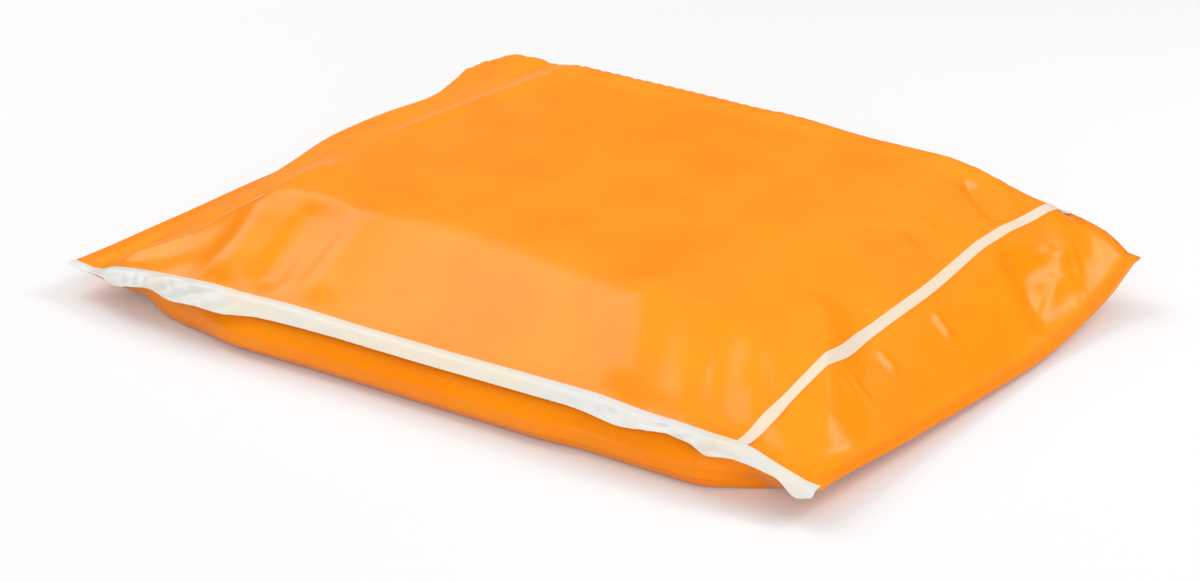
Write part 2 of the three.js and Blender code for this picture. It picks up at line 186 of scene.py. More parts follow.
@dataclass
class FilmBag:
    """The bag's film: one closed skin over the contents, with a flat welded rim.

    Attributes:
        folds: The folds that the photograph shows, and those of the same kind out of sight.
        shift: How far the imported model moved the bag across, in millimetres.
        weld_gap: Packed corners closer than this are one.
        bottom_rings: Widths of the rings of faces round the flat bottom.
        slack: How much longer the film is than its shape, where it is loose near the rim.
        free_inside: How far inside the outline the contents begin to hold the film.
        held_inside: The stretch over which they come to hold it fully.
        least_held: How much the film is held outside that, as a share.
        on_table: The film below this height stays on the table.
        steps: Frames that the film is given to settle.
        table_band: Heights between which folds fade in over the table.
        rim_band: Distances inside the outline between which folds reach their full lift.
        rim_lift: The share of its lift that a fold keeps at the rim itself.
        puckers: Small gathers along the front, back, left and right of the rim.
        ear_room: The gathers keep this far from the bag's ends and sides.
        gather_sizes: The least and the greatest length of a gather.
        gather_lifts: The least and the greatest height of a gather.
        gather_reaches: The least and the greatest reach of a gather.
        seed: Fixes the places of the gathers.
        ear_ridge: A place on the front left ear's ridge, along and across the bag.
        ear_side: The direction square to that ridge, towards the back.
        ridge_room: How far behind the ridge the matt film begins.
        ridge_fade: The stretch over which it becomes fully matt.
        dull_end: How far along the bag the matt film reaches.
        dull_fade: The stretch over which it becomes glossy there.
        weld_width: How far inside the outline the weld keeps its full colour.
        weld_fade: The stretch over which the weld's colour fades.
    """

    folds: tuple[Fold, ...]
    shift: float = 0.0
    weld_gap: float = 0.02
    bottom_rings: tuple[float, ...] = (3.0, 6.0, 10.0, 16.0)
    slack: float = 0.02
    free_inside: float = 12.0
    held_inside: float = 30.0
    least_held: float = 0.25
    on_table: float = 0.3
    steps: int = 18
    table_band: tuple[float, float] = (0.4, 3.4)
    rim_band: tuple[float, float] = (1.0, 12.0)
    rim_lift: float = 0.15
    puckers: tuple[int, int, int, int] = (0, 22, 14, 0)
    ear_room: float = 12.0
    gather_sizes: tuple[float, float] = (9.0, 24.0)
    gather_lifts: tuple[float, float] = (0.08, 0.3)
    gather_reaches: tuple[float, float] = (2.5, 5.5)
    seed: int = 7
    ear_ridge: tuple[float, float] = (-95.0, -72.0)
    ear_side: tuple[float, float] = (-0.498, 0.868)
    ridge_room: float = 1.0
    ridge_fade: float = 5.0
    dull_end: float = -92.0
    dull_fade: float = 12.0
    weld_width: float = 4.2
    weld_fade: float = 1.2
    piece: bpy.types.Object = field(init=False, default=None)

    def build(self, node: bpy.types.Object) -> bpy.types.Object:
        """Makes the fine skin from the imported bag.

        Args:
            node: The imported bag.

        Returns:
            The dressed bag, at the origin.
        """
        self.piece = self._merged_copy(node)
        self._join_flats()
        self._crease_rim()
        self._subdivide()
        self._settle()
        self._subdivide()
        self._press(self.folds)
        self._press(self._gathers())
        self._mark_rim()
        return self.piece

    def _merged_copy(self, node: bpy.types.Object) -> bpy.types.Object:
        """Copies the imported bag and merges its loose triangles."""
        piece = bpy.data.objects.new("mailer_film", node.data.copy())
        bpy.context.scene.collection.objects.link(piece)
        only(piece)
        bpy.ops.object.mode_set(mode="EDIT")
        bpy.ops.mesh.select_all(action="SELECT")
        bpy.ops.mesh.remove_doubles(threshold=self.weld_gap * MM)
        bpy.ops.object.mode_set(mode="OBJECT")
        return piece

    def _join_flats(self) -> None:
        """Makes one face of the flat bottom, with rings round it, and quads of the rest."""
        mesh = self.piece.data
        for face in mesh.polygons:
            face.select = face.center.z < 0.05 * MM and face.normal.z < -0.99
        bpy.ops.object.mode_set(mode="EDIT")
        bpy.ops.mesh.select_mode(type="FACE")
        bpy.ops.mesh.dissolve_faces()
        for ring in self.bottom_rings:
            bpy.ops.mesh.inset(thickness=ring * MM, use_boundary=True, use_even_offset=True)
        bpy.ops.mesh.select_all(action="INVERT")
        bpy.ops.mesh.tris_convert_to_quads(
            face_threshold=math.radians(60.0), shape_threshold=math.radians(60.0)
        )
        bpy.ops.object.mode_set(mode="OBJECT")

    def _inside(self, places: np.ndarray) -> np.ndarray:
        """Gives each place's distance inside the bag's outline, in millimetres.

        Args:
            places: Places in millimetres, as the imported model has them.

        Returns:
            The distances to the nearest side.
        """
        from_side = BAG_WIDTH / 2 - np.abs(places[:, 1] - self.shift)
        from_end = BAG_LENGTH / 2 - np.abs(places[:, 0])
        return np.minimum(from_side, from_end)

    def _crease_rim(self) -> None:
        """Keeps the welded rim's edges crisp when the skin is subdivided."""
        mesh = self.piece.data
        edge = self._inside(coordinates(mesh) / MM) < 0.1
        layer = mesh.attributes.new("crease_edge", "FLOAT", "EDGE")
        for line in mesh.edges:
            ends = line.vertices
            if edge[ends[0]] and edge[ends[1]]:
                layer.data[line.index].value = 1.0

    def _subdivide(self) -> None:
        """Subdivides the skin smoothly, once."""
        only(self.piece)
        finer = self.piece.modifiers.new("finer", "SUBSURF")
        finer.levels = finer.render_levels = 1
        bpy.ops.object.modifier_apply(modifier=finer.name)

    def _group(self, name: str, weights: np.ndarray) -> None:
        """Makes a vertex group of one weight for each place."""
        group = self.piece.vertex_groups.new(name=name)
        rounded = weights.round(2)
        for weight in np.unique(rounded):
            group.add(np.nonzero(rounded == weight)[0].tolist(), float(weight), "REPLACE")

    def _settle(self) -> None:
        """Lets the film near the rim, where it is slack, settle into its own crumples."""
        mesh = self.piece.data
        places = coordinates(mesh) / MM
        inside = self._inside(places)
        gripped = eased((inside - self.free_inside) / self.held_inside)
        contents = self.least_held + (1.0 - self.least_held) * gripped
        rim = np.where(inside < HEM_WIDTH + 0.2, 1.0, 0.0)
        flat = np.where(places[:, 2] < self.on_table, 1.0, 0.0)
        self._group("held", np.maximum.reduce([contents, rim, flat]))
        self._group("slack", eased(1.0 - (inside - HEM_WIDTH) / self.held_inside))
        cloth = self.piece.modifiers.new("settle", "CLOTH")
        film = cloth.settings
        film.quality = 5
        film.mass = 0.06
        film.tension_stiffness = film.compression_stiffness = 40.0
        film.shear_stiffness = 20.0
        film.bending_stiffness = 0.06
        film.air_damping = 3.0
        film.vertex_group_mass = "held"
        film.pin_stiffness = 1.0
        film.use_pressure = True
        film.uniform_pressure_force = 0.3
        film.vertex_group_shrink = "slack"
        film.shrink_min = 0.0
        film.shrink_max = -self.slack
        film.effector_weights.gravity = 0.0
        cloth.collision_settings.use_collision = False
        cloth.point_cache.frame_start, cloth.point_cache.frame_end = 1, self.steps
        scene = bpy.context.scene
        for frame in range(1, self.steps + 1):
            scene.frame_set(frame)
        only(self.piece)
        bpy.ops.object.modifier_apply(modifier=cloth.name)
        scene.frame_set(1)
        moved = np.linalg.norm(coordinates(mesh) / MM - places, axis=1)
        LOG.info("the film settled by up to %.1f mm", moved.max())

    def _route(self, tree: BVHTree, fold: Fold) -> np.ndarray:
        """Lays a fold's line on the skin.

        Args:
            tree: The skin, for looking up places.
            fold: The fold.

        Returns:
            Places along the fold on the skin, in metres.
        """
        start, end = np.array(fold.start), np.array(fold.end)
        length = float(np.linalg.norm(end - start))
        sideways = np.array([-(end - start)[1], (end - start)[0]]) / length
        direction = Vector(fold.panel.value)
        found = []
        for share in np.linspace(0.0, 1.0, max(4, int(length / 1.5))):
            spot = start + (end - start) * share + sideways * fold.bend * math.sin(math.pi * share)
            if fold.panel is Panel.TOP:
                origin = Vector((spot[0], spot[1] + self.shift, 200.0))
            elif fold.panel in (Panel.FRONT, Panel.BACK):
                origin = Vector((spot[0], self.shift - fold.panel.value[1] * 300.0, spot[1]))
            else:
                origin = Vector((-fold.panel.value[0] * 300.0, spot[0] + self.shift, spot[1]))
            hit = tree.ray_cast(origin * MM, direction)[0]
            if hit is not None:
                found.append(hit)
        return np.array(found)

    def _press(self, folds: tuple[Fold, ...]) -> None:
        """Presses folds into the skin, along its normals.

        Args:
            folds: The folds.
        """
        mesh = self.piece.data
        tree = BVHTree.FromObject(self.piece, bpy.context.evaluated_depsgraph_get())
        places, outward = coordinates(mesh), normals(mesh)
        lift = np.zeros(len(places))
        for fold in folds:
            route = self._route(tree, fold)
            if len(route) < 3:
                LOG.warning("a fold at %s missed the film", fold.start)
                continue
            near, beside, along = self._about(places, outward, route, fold)
            taper = eased(along / fold.fade[0]) * eased((1.0 - along) / fold.fade[1])
            lift[near] += fold.lift * MM * taper * np.clip(1.0 - beside, 0.0, 1.0) ** fold.sharpness
        low, high = self.table_band
        lift *= eased((places[:, 2] - low * MM) / ((high - low) * MM))
        free = eased((self._inside(places / MM) - self.rim_band[0]) / (self.rim_band[1] - self.rim_band[0]))
        lift *= self.rim_lift + (1.0 - self.rim_lift) * free
        place(mesh, places + outward * lift[:, None])

    @staticmethod
    def _about(
        places: np.ndarray, outward: np.ndarray, route: np.ndarray, fold: Fold
    ) -> tuple[np.ndarray, np.ndarray, np.ndarray]:
        """Finds the places near a fold, and where they are along it and beside it.

        Args:
            places: The skin's places, in metres.
            outward: The skin's normals.
            route: The fold's line on the skin.
            fold: The fold.

        Returns:
            The near places' numbers, their distance beside the line as a share of the fold's
            reach, and their share along it.
        """
        reach = max(fold.left, fold.right) * MM
        low, high = route.min(0) - reach, route.max(0) + reach
        near = np.nonzero(((places > low) & (places < high)).all(1))[0]
        apart = places[near, None, :] - route[None, :, :]
        closest = np.linalg.norm(apart, axis=2).argmin(1)
        heading = np.gradient(route, axis=0)
        heading /= np.linalg.norm(heading, axis=1)[:, None]
        offset = apart[np.arange(len(near)), closest]
        forward = (offset * heading[closest]).sum(1)
        across = offset - forward[:, None] * heading[closest]
        side = (np.cross(heading[closest], across) * outward[near]).sum(1)
        reaches = np.where(side > 0.0, fold.left, fold.right) * MM
        spacing = np.linalg.norm(route[-1] - route[0]) / (len(route) - 1)
        along = (closest + forward / spacing) / (len(route) - 1)
        return near, np.linalg.norm(across, axis=1) / reaches, along

    def _gathers(self) -> tuple[Fold, ...]:
        """Spreads small gathers along the rim, each square to it.

        Returns:
            The gathers as folds.
        """
        rng = np.random.default_rng(self.seed)
        sides = (
            (BAG_LENGTH, lambda s, d: (s, d - BAG_WIDTH / 2)),
            (BAG_LENGTH, lambda s, d: (s, BAG_WIDTH / 2 - d)),
            (BAG_WIDTH, lambda s, d: (d - BAG_LENGTH / 2, s)),
            (BAG_WIDTH, lambda s, d: (BAG_LENGTH / 2 - d, s)),
        )
        gathers = []
        for count, (length, spot) in zip(self.puckers, sides):
            for number in range(count):
                share = (number + rng.uniform(0.15, 0.85)) / count
                at = share * (length - 2 * self.ear_room) - length / 2 + self.ear_room
                lean = rng.uniform(-5.0, 5.0)
                size = rng.uniform(*self.gather_sizes)
                lift = rng.choice((-1.0, 1.0)) * rng.uniform(*self.gather_lifts)
                reach = rng.uniform(*self.gather_reaches)
                gathers.append(
                    Fold(spot(at, 1.5), spot(at + lean, 1.5 + size), lift, reach, reach * 0.7, 1.3)
                )
        return tuple(gathers)

    def _mark_rim(self) -> None:
        """Marks the welded rim, for the film's colour, and the matt film behind the left ear."""
        mesh = self.piece.data
        places = coordinates(mesh) / MM
        inside = self._inside(places)
        under_tape = places[:, 1] - self.shift < HEM_WIDTH + 1.0 - BAG_WIDTH / 2
        inside[under_tape] = HEM_WIDTH
        rim = mesh.attributes.new("rim", "FLOAT", "POINT")
        rim.data.foreach_set("value", np.clip(1.0 - (inside - self.weld_width) / self.weld_fade, 0.0, 1.0))
        from_ridge_x = places[:, 0] - self.ear_ridge[0]
        from_ridge_y = places[:, 1] - self.shift - self.ear_ridge[1]
        beyond_ear = self.ear_side[0] * from_ridge_x + self.ear_side[1] * from_ridge_y
        past_ridge = eased((beyond_ear - self.ridge_room) / self.ridge_fade)
        dull = eased((self.dull_end - places[:, 0]) / self.dull_fade) * past_ridge
        matt = mesh.attributes.new("matt", "FLOAT", "POINT")
        matt.data.foreach_set("value", dull)
        only(self.piece)
        bpy.ops.object.shade_smooth()


@dataclass
class Tape:
    """What the two tapes share: a grid of film that becomes a thin closed band.

    Attributes:
        skin: The dressed bag, to lay the tape on.
        shift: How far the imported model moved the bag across, in millimetres.
        thickness: The tape's thickness in millimetres.
        clearance: The gap that keeps the tape off the film.
        cells: Cells of the grid along and across the tape.
    """

    skin: BVHTree
    shift: float
    thickness: float = 0.22
    clearance: float = 0.12
    cells: tuple[int, int] = (420, 14)

    def height(self, x: float, y: float) -> float:
        """Gives the film's height under a place, in millimetres from the bag's middle.

        Args:
            x: The place along the bag.
            y: The place across the bag.

        Returns:
            The height above the table, or 0 beside the bag.
        """
        origin = Vector((x, y + self.shift, 200.0)) * MM
        hit = self.skin.ray_cast(origin, Vector((0.0, 0.0, -1.0)))[0]
        return 0.0 if hit is None else hit.z / MM

    def band(self, name: str, shaped: np.ndarray) -> bpy.types.Object:
        """Makes a thin closed band through rows of places.

        Args:
            name: The piece's name.
            shaped: Places in millimetres from the bag's middle, one row along the tape for each
                step across it.

        Returns:
            The band.
        """
        along, across = self.cells
        bpy.ops.object.select_all(action="DESELECT")
        bpy.ops.mesh.primitive_grid_add(x_subdivisions=along, y_subdivisions=across, size=2.0)
        piece = bpy.context.object
        piece.name = piece.data.name = name
        flat = coordinates(piece.data)
        column = np.rint((flat[:, 0] + 1.0) / 2.0 * along).astype(int)
        row = np.rint((flat[:, 1] + 1.0) / 2.0 * across).astype(int)
        places = shaped[row, column].copy()
        places[:, 1] += self.shift
        place(piece.data, places * MM)
        wall = piece.modifiers.new("wall", "SOLIDIFY")
        wall.thickness = self.thickness * MM
        wall.offset = 1.0
        bpy.ops.object.modifier_apply(modifier=wall.name)
        bpy.ops.object.shade_smooth_by_angle(angle=math.radians(50.0))
        return piece

    def shade(self, piece: bpy.types.Object, axis: int, knots: tuple[tuple[float, float], ...]) -> None:
        """Marks how cool the tape's white is along it, for its colour.

        Args:
            piece: The tape.
            axis: 0 where the tape runs along the bag, 1 where it runs across.
            knots: Pairs of a place in millimetres and how cool it is there, from 0 to 1.
        """
        places = coordinates(piece.data) / MM
        places[:, 1] -= self.shift
        spots, tones = zip(*knots)
        cool = piece.data.attributes.new("cool", "FLOAT", "POINT")
        cool.data.foreach_set("value", np.interp(places[:, axis], spots, tones))


@dataclass
class SideTape(Tape):
    """The tape along the front seam: it grips the rim's lip and hangs out past it.

    Attributes:
        width: Its plain width past the seam.
        droop: How far the part past the seam hangs, in degrees.
        lip: How far it reaches in over the film.
        rise: How far its inner edge stands off the film.
        roll: How far from its inner edge it hangs at its full droop.
        inset: How far its ends stay inside the bag's, and how far inside the seam the film's
            height is taken.
        window: Steps along the seam that its width is smoothed over.
        loose: Where it is crumpled most, as pairs of a place along the seam and a reach.
        least_swell: How high its crumples stand where it is taut.
        more_swell: How much higher they stand where it is loose.
        swell_start: How far past its lip the crumples reach their full height.
        widths: Its width along the seam, as pairs of share along and share of the plain width.
        tones: How cool its white is along the seam, in millimetres from the middle.
    """

    width: float = 7.2
    droop: float = 40.0
    lip: float = 1.1
    rise: float = 0.3
    roll: float = 4.6
    inset: float = 0.3
    window: int = 15
    loose: tuple[tuple[float, float], ...] = ((-108.0, 46.0), (-150.0, 14.0), (112.0, 60.0))
    least_swell: float = 0.10
    more_swell: float = 0.75
    swell_start: float = 2.0
    widths: tuple[tuple[float, float], ...] = (
        (0.0, 0.3), (0.045, 0.35), (0.0875, 1.15), (0.147, 1.0), (0.178, 1.4), (0.26, 1.4),
        (0.297, 1.1), (0.416, 0.92), (0.72, 0.92), (0.78, 1.1), (0.834, 0.68), (0.8625, 0.75),
        (0.886, 1.12), (0.906, 0.9), (0.94, 0.62), (0.962, 0.5), (0.978, 0.9), (0.99, 0.85), (1.0, 0.5),
    )
    tones: tuple[tuple[float, float], ...] = (
        (-160.0, 0.8), (-128.0, 0.9), (-112.0, 0.5), (-96.0, 0.95), (-84.0, 0.6), (-76.0, 0.1),
        (-48.0, 0.5), (-20.0, 0.15), (44.0, 0.1), (58.0, 0.7), (84.0, 0.95), (98.0, 0.6),
        (112.0, 0.9), (122.0, 0.4), (160.0, 0.6),
    )

    def build(self) -> bpy.types.Object:
        """Makes the tape.

        Returns:
            The tape, at the origin.
        """
        along, across = self.cells
        ends = BAG_LENGTH / 2 - self.inset
        xs = np.linspace(-ends, ends, along + 1)
        shares, widths = zip(*self.widths)
        reach = smoothed(np.interp(xs / BAG_LENGTH + 0.5, shares, widths) * self.width, self.window)
        seam = -BAG_WIDTH / 2
        edge = np.array([self.height(x, seam + self.inset) for x in xs])
        loose = np.clip(sum(hump(xs, middle, spread) for middle, spread in self.loose), 0.0, 1.0)
        swelling = self.least_swell + self.more_swell * loose
        fall = math.radians(self.droop)
        y = np.full(along + 1, seam + self.lip)
        z = edge + self.clearance + self.rise
        stride = (self.lip + reach) / across
        rows = []
        for step in range(across + 1):
            run = step * stride
            crumple = np.array([self._crumple(x, d) for x, d in zip(xs, run)])
            swell = crumple * swelling * eased((run - self.lip) / self.swell_start)
            lean = fall * eased((run + 0.5 * stride) / self.roll)
            rows.append(np.stack([xs, y - swell * np.sin(lean), z + swell * np.cos(lean)], axis=1))
            y = y - stride * np.cos(lean)
            z = z - stride * np.sin(lean)
        piece = self.band("seam_tape", np.array(rows[::-1]))
        self.shade(piece, 0, self.tones)
        return piece

    @staticmethod
    def _crumple(x: float, past: float) -> float:
        """Gives the tape's crumple at a place, from 0 to 1.4, in slanting creases."""
        wide = abs(noise.noise(Vector((x * 0.075 + past * 0.11, past * 0.10, 3.7))))
        fine = abs(noise.noise(Vector((x * 0.21 - past * 0.16, past * 0.30, 9.1))))
        return min(2.0 * wide + 0.9 * fine, 1.4)


@dataclass
class FlapTape(Tape):
    """The tape across the folded flap, stuck down along its whole length.

    Attributes:
        middle: Its middle line's place along the bag.
        width: Its width.
        insets: How far its front and back ends stay inside the bag's sides.
        line_window: Steps that its middle line's bends are rounded over.
        bridge_window: Steps that it bridges the film's hollows over.
        line: Its middle line, as pairs of a place across the bag and how far it strays there.
        tones: How cool its white is across the bag, in millimetres from the middle.
    """

    middle: float = FLAP_TAPE_PLACE
    width: float = 3.4
    insets: tuple[float, float] = (1.4, 0.3)
    line_window: int = 19
    bridge_window: int = 25
    line: tuple[tuple[float, float], ...] = (
        (-110.0, 1.0), (-82.0, -0.8), (-66.0, 1.0), (-50.0, 1.5), (-36.0, -0.2), (8.0, -1.0),
        (48.0, -3.0), (66.0, -2.6), (98.0, 0.2),
    )
    tones: tuple[tuple[float, float], ...] = (
        (-110.0, 0.5), (-90.0, 0.2), (-40.0, 0.5), (0.0, 0.1), (40.0, 0.4), (70.0, 0.2), (96.0, 0.4),
        (104.0, 1.0),
    )

    def build(self) -> bpy.types.Object:
        """Makes the tape.

        Returns:
            The tape, at the origin.
        """
        along, across = self.cells
        front, back = self.insets
        ys = np.linspace(front - BAG_WIDTH / 2, BAG_WIDTH / 2 - back, along + 1)
        centre = self.middle + smoothed(np.interp(ys, *zip(*self.line)), self.line_window)
        rows = []
        for step in range(across + 1):
            xs = centre + (step / across - 0.5) * self.width
            film = np.array([self.height(x, y) for x, y in zip(xs, ys)])
            z = np.maximum(film, smoothed(film, self.bridge_window)) + self.clearance
            rows.append(np.stack([xs, ys, z], axis=1))
        piece = self.band("flap_tape", np.array(rows[::-1]))
        self.shade(piece, 1, self.tones)
        return piece


class Crumple:
    """The fine crumple that the film and the tapes share, as a node group."""

    NAME = "film_crumple"

    @classmethod
    def group(cls) -> bpy.types.NodeTree:
        """Builds the group, or finds it.

        Returns:
            The node group.
        """
        if cls.NAME in bpy.data.node_groups:
            return bpy.data.node_groups[cls.NAME]
        tree = bpy.data.node_groups.new(cls.NAME, "ShaderNodeTree")
        sockets = tree.interface
        sockets.new_socket("Place", in_out="INPUT", socket_type="NodeSocketVector")
        sockets.new_socket("Crease Scale", in_out="INPUT", socket_type="NodeSocketFloat")
        sockets.new_socket("Cloud Scale", in_out="INPUT", socket_type="NodeSocketFloat")
        sockets.new_socket("Height", in_out="OUTPUT", socket_type="NodeSocketFloat")
        sockets.new_socket("Clouds", in_out="OUTPUT", socket_type="NodeSocketFloat")
        entry, leave = tree.nodes.new("NodeGroupInput"), tree.nodes.new("NodeGroupOutput")
        creases = tree.nodes.new("ShaderNodeTexNoise")
        creases.noise_type = "RIDGED_MULTIFRACTAL"
        creases.inputs["Detail"].default_value = 3.0
        creases.inputs["Distortion"].default_value = 0.6
        tree.links.new(entry.outputs["Place"], creases.inputs["Vector"])
        tree.links.new(entry.outputs["Crease Scale"], creases.inputs["Scale"])
        clouds = tree.nodes.new("ShaderNodeTexNoise")
        clouds.inputs["Detail"].default_value = 4.0
        clouds.inputs["Roughness"].default_value = 0.55
        tree.links.new(entry.outputs["Place"], clouds.inputs["Vector"])
        tree.links.new(entry.outputs["Cloud Scale"], clouds.inputs["Scale"])
        tree.links.new(creases.outputs["Fac"], leave.inputs["Height"])
        tree.links.new(clouds.outputs["Fac"], leave.inputs["Clouds"])
        return tree

    @classmethod
    def place_in(cls, tree: bpy.types.NodeTree, creases: float, clouds: float) -> bpy.types.Node:
        """Puts the group in a material, on Object coordinates.

        Args:
            tree: The material's node tree.
            creases: The scale of the creases.
            clouds: The scale of the clouds.

        Returns:
            The group's node.
        """
        where = tree.nodes.new("ShaderNodeTexCoord")
        node = tree.nodes.new("ShaderNodeGroup")
        node.node_tree = cls.group()
        node.inputs["Crease Scale"].default_value = creases
        node.inputs["Cloud Scale"].default_value = clouds
        tree.links.new(where.outputs["Object"], node.inputs["Place"])
        return node


def mixed(
    tree: bpy.types.NodeTree, share: bpy.types.NodeSocket, first: object, second: object
) -> bpy.types.NodeSocket:
    """Mixes two colours.

    Args:
        tree: The material's node tree.
        share: How much of the second colour there is.
        first: A colour, or a socket that gives one.
        second: A colour, or a socket that gives one.

    Returns:
        The mixed colour's socket.
    """
    mix = tree.nodes.new("ShaderNodeMix")
    mix.data_type = "RGBA"
    tree.links.new(share, mix.inputs["Factor"])
    for name, colour in (("A", first), ("B", second)):
        if isinstance(colour, bpy.types.NodeSocket):
            tree.links.new(colour, mix.inputs[name])
        else:
            mix.inputs[name].default_value = colour
    return mix.outputs["Result"]


def ranged(
    tree: bpy.types.NodeTree, value: bpy.types.NodeSocket, span: tuple[float, float]
) -> bpy.types.NodeSocket:
    """Stretches the values within a span to the range from 0 to 1, eased at both ends.

    Args:
        tree: The material's node tree.
        value: The value's socket.
        span: The values that become 0 and 1.

    Returns:
        The stretched value's socket.
    """
    node = tree.nodes.new("ShaderNodeMapRange")
    node.interpolation_type = "SMOOTHSTEP"
    node.inputs["From Min"].default_value, node.inputs["From Max"].default_value = span
    tree.links.new(value, node.inputs["Value"])
    return node.outputs["Result"]


def bumped(
    tree: bpy.types.NodeTree, height: bpy.types.NodeSocket, bump_size: tuple[float, float]
) -> None:
    """Bumps a material's surface by a height.

    Args:
        tree: The material's node tree.
        height: The height's socket.
        bump_size: How strong the bump is, and how deep it is in millimetres.
    """
    strength, depth = bump_size
    bump = tree.nodes.new("ShaderNodeBump")
    bump.inputs["Strength"].default_value = strength
    bump.inputs["Distance"].default_value = depth * MM
    tree.links.new(height, bump.inputs["Height"])
    tree.links.new(bump.outputs["Normal"], tree.nodes["Principled BSDF"].inputs["Normal"])


@dataclass(frozen=True)
class FilmFinish:
    """Glossy orange film: its colour, its darker weld, its gloss and its fine crumple.

    Attributes:
        colour: The film's colour.
        deep_colour: The colour that it deepens to in patches.
        weld_colour: The welded rim's colour.
        roughness: The film's roughness where it is glossy.
        dull_roughness: Its roughness where it is matt.
        specular: How strong its gloss is.
        creases: The scale of its fine creases.
        clouds: The scale of its patches.
        cloud_span: The clouds' values between the two film colours.
        bump: How strong the fine creases are, and how deep in millimetres.
    """

    colour: tuple[float, float, float, float] = (1.0, 0.300, 0.004, 1.0)
    deep_colour: tuple[float, float, float, float] = (1.0, 0.262, 0.003, 1.0)
    weld_colour: tuple[float, float, float, float] = (0.97, 0.245, 0.003, 1.0)
    roughness: float = 0.25
    dull_roughness: float = 0.68
    specular: float = 0.18
    creases: float = 34.0
    clouds: float = 30.0
    cloud_span: tuple[float, float] = (0.32, 0.72)
    bump: tuple[float, float] = (0.12, 0.5)

    def material(self) -> bpy.types.Material:
        """Builds the film's material.

        Returns:
            The material.
        """
        material = bpy.data.materials.new("mailer_film")
        material.use_nodes = True
        tree = material.node_tree
        shader = tree.nodes["Principled BSDF"]
        crumple = Crumple.place_in(tree, self.creases, self.clouds)
        clouds = ranged(tree, crumple.outputs["Clouds"], self.cloud_span)
        film = mixed(tree, clouds, self.colour, self.deep_colour)
        rim = tree.nodes.new("ShaderNodeAttribute")
        rim.attribute_name = "rim"
        tree.links.new(mixed(tree, rim.outputs["Fac"], film, self.weld_colour), shader.inputs["Base Color"])
        matt = tree.nodes.new("ShaderNodeAttribute")
        matt.attribute_name = "matt"
        gloss = tree.nodes.new("ShaderNodeMapRange")
        gloss.inputs["To Min"].default_value = self.roughness
        gloss.inputs["To Max"].default_value = self.dull_roughness
        tree.links.new(matt.outputs["Fac"], gloss.inputs["Value"])
        tree.links.new(gloss.outputs["Result"], shader.inputs["Roughness"])
        shader.inputs["Specular IOR Level"].default_value = self.specular
        bumped(tree, crumple.outputs["Height"], self.bump)
        return material


@dataclass(frozen=True)
class TapeFinish:
    """Milky white tape film, cool and warm in patches.

    Attributes:
        name: The material's name.
        warm: Its warm white.
        cool: Its cool white.
        roughness: Its roughness.
        specular: How strong its gloss is.
        creases: The scale of its fine creases.
        clouds: The scale of its patches.
        cool_span: The sums of cloud and coolness between the two whites.
        bump: How strong the fine creases are, and how deep in millimetres.
    """

    name: str
    warm: tuple[float, float, float, float]
    cool: tuple[float, float, float, float]
    roughness: float = 0.38
    specular: float = 0.4
    creases: float = 120.0
    clouds: float = 90.0
    cool_span: tuple[float, float] = (0.65, 1.35)
    bump: tuple[float, float] = (0.25, 0.3)

    def material(self) -> bpy.types.Material:
        """Builds the tape's material.

        Returns:
            The material.
        """
        material = bpy.data.materials.new(self.name)
        material.use_nodes = True
        tree = material.node_tree
        shader = tree.nodes["Principled BSDF"]
        crumple = Crumple.place_in(tree, self.creases, self.clouds)
        cool = tree.nodes.new("ShaderNodeAttribute")
        cool.attribute_name = "cool"
        both = tree.nodes.new("ShaderNodeMath")
        both.operation = "ADD"
        tree.links.new(crumple.outputs["Clouds"], both.inputs[0])
        tree.links.new(cool.outputs["Fac"], both.inputs[1])
        patches = ranged(tree, both.outputs["Value"], self.cool_span)
        tree.links.new(mixed(tree, patches, self.warm, self.cool), shader.inputs["Base Color"])
        shader.inputs["Roughness"].default_value = self.roughness
        shader.inputs["Specular IOR Level"].default_value = self.specular
        bumped(tree, crumple.outputs["Height"], self.bump)
        return material


@dataclass(frozen=True)
class Lamp:
    """A rectangular lamp.

    Attributes:
        name: The lamp's name.
        direction: From the bag to the lamp.
        away: Its distance in metres.
        size: Its level side and its leaning side in metres.
        radiance: How bright its face is.
    """

    name: str
    direction: tuple[float, float, float]
    away: float
    size: tuple[float, float]
    radiance: float


